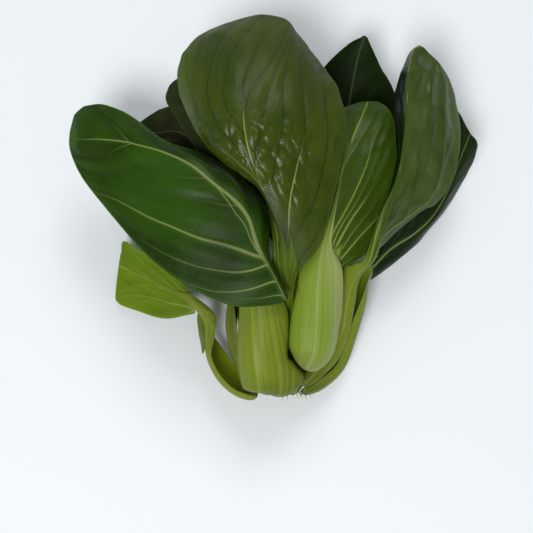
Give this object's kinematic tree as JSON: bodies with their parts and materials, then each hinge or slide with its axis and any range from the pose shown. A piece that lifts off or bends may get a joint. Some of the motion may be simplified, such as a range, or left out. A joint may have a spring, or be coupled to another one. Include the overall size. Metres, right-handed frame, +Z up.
{
  "type": "bok choy",
  "caption": "Head of baby bok choy lying on its side: broad pale green stalks joined at a short base, with glossy veined dark green leaves spread like a fan.",
  "frame": {"origin": "middle of the box's base, on the surface that the head lies on", "axes": "+Z up, +Y from the base of the head towards the leaf tips, +X towards the leaves with the upright folded blade"},
  "size_m": [0.2084, 0.1904, 0.0864],
  "materials": {
    "crown": "matte, cut stem",
    "stalk": "satin, finely grooved",
    "blade_dark": "satin with pale veins",
    "blade_mid": "satin with pale veins",
    "blade_olive": "glossy and blistered",
    "blade_light": "satin with pale veins"
  },
  "bodies": {
    "root": {"crown": "crown", "leaf_front_left_stalk": "stalk", "leaf_front_left_blade": "blade_dark", "leaf_centre_stalk": "stalk", "leaf_centre_blade": "blade_olive", "leaf_front_right_stalk": "stalk", "leaf_front_right_blade": "blade_mid", "leaf_right_stalk": "stalk", "leaf_right_blade": "blade_mid", "leaf_far_right_stalk": "stalk", "leaf_far_right_blade": "blade_dark", "leaf_back_right_stalk": "stalk", "leaf_back_right_blade": "blade_dark", "leaf_back_left_stalk": "stalk", "leaf_back_left_blade": "blade_dark", "leaf_inner_left_stalk": "stalk", "leaf_inner_left_blade": "blade_dark", "leaf_low_left_stalk": "stalk", "leaf_low_left_blade": "blade_light", "leaf_under_stalk": "stalk", "leaf_under_blade": "blade_dark", "leaf_inner_low_stalk": "stalk", "leaf_inner_low_blade": "blade_mid", "leaf_heart_stalk": "stalk", "leaf_heart_blade": "blade_light"}
  },
  "joints": []
}
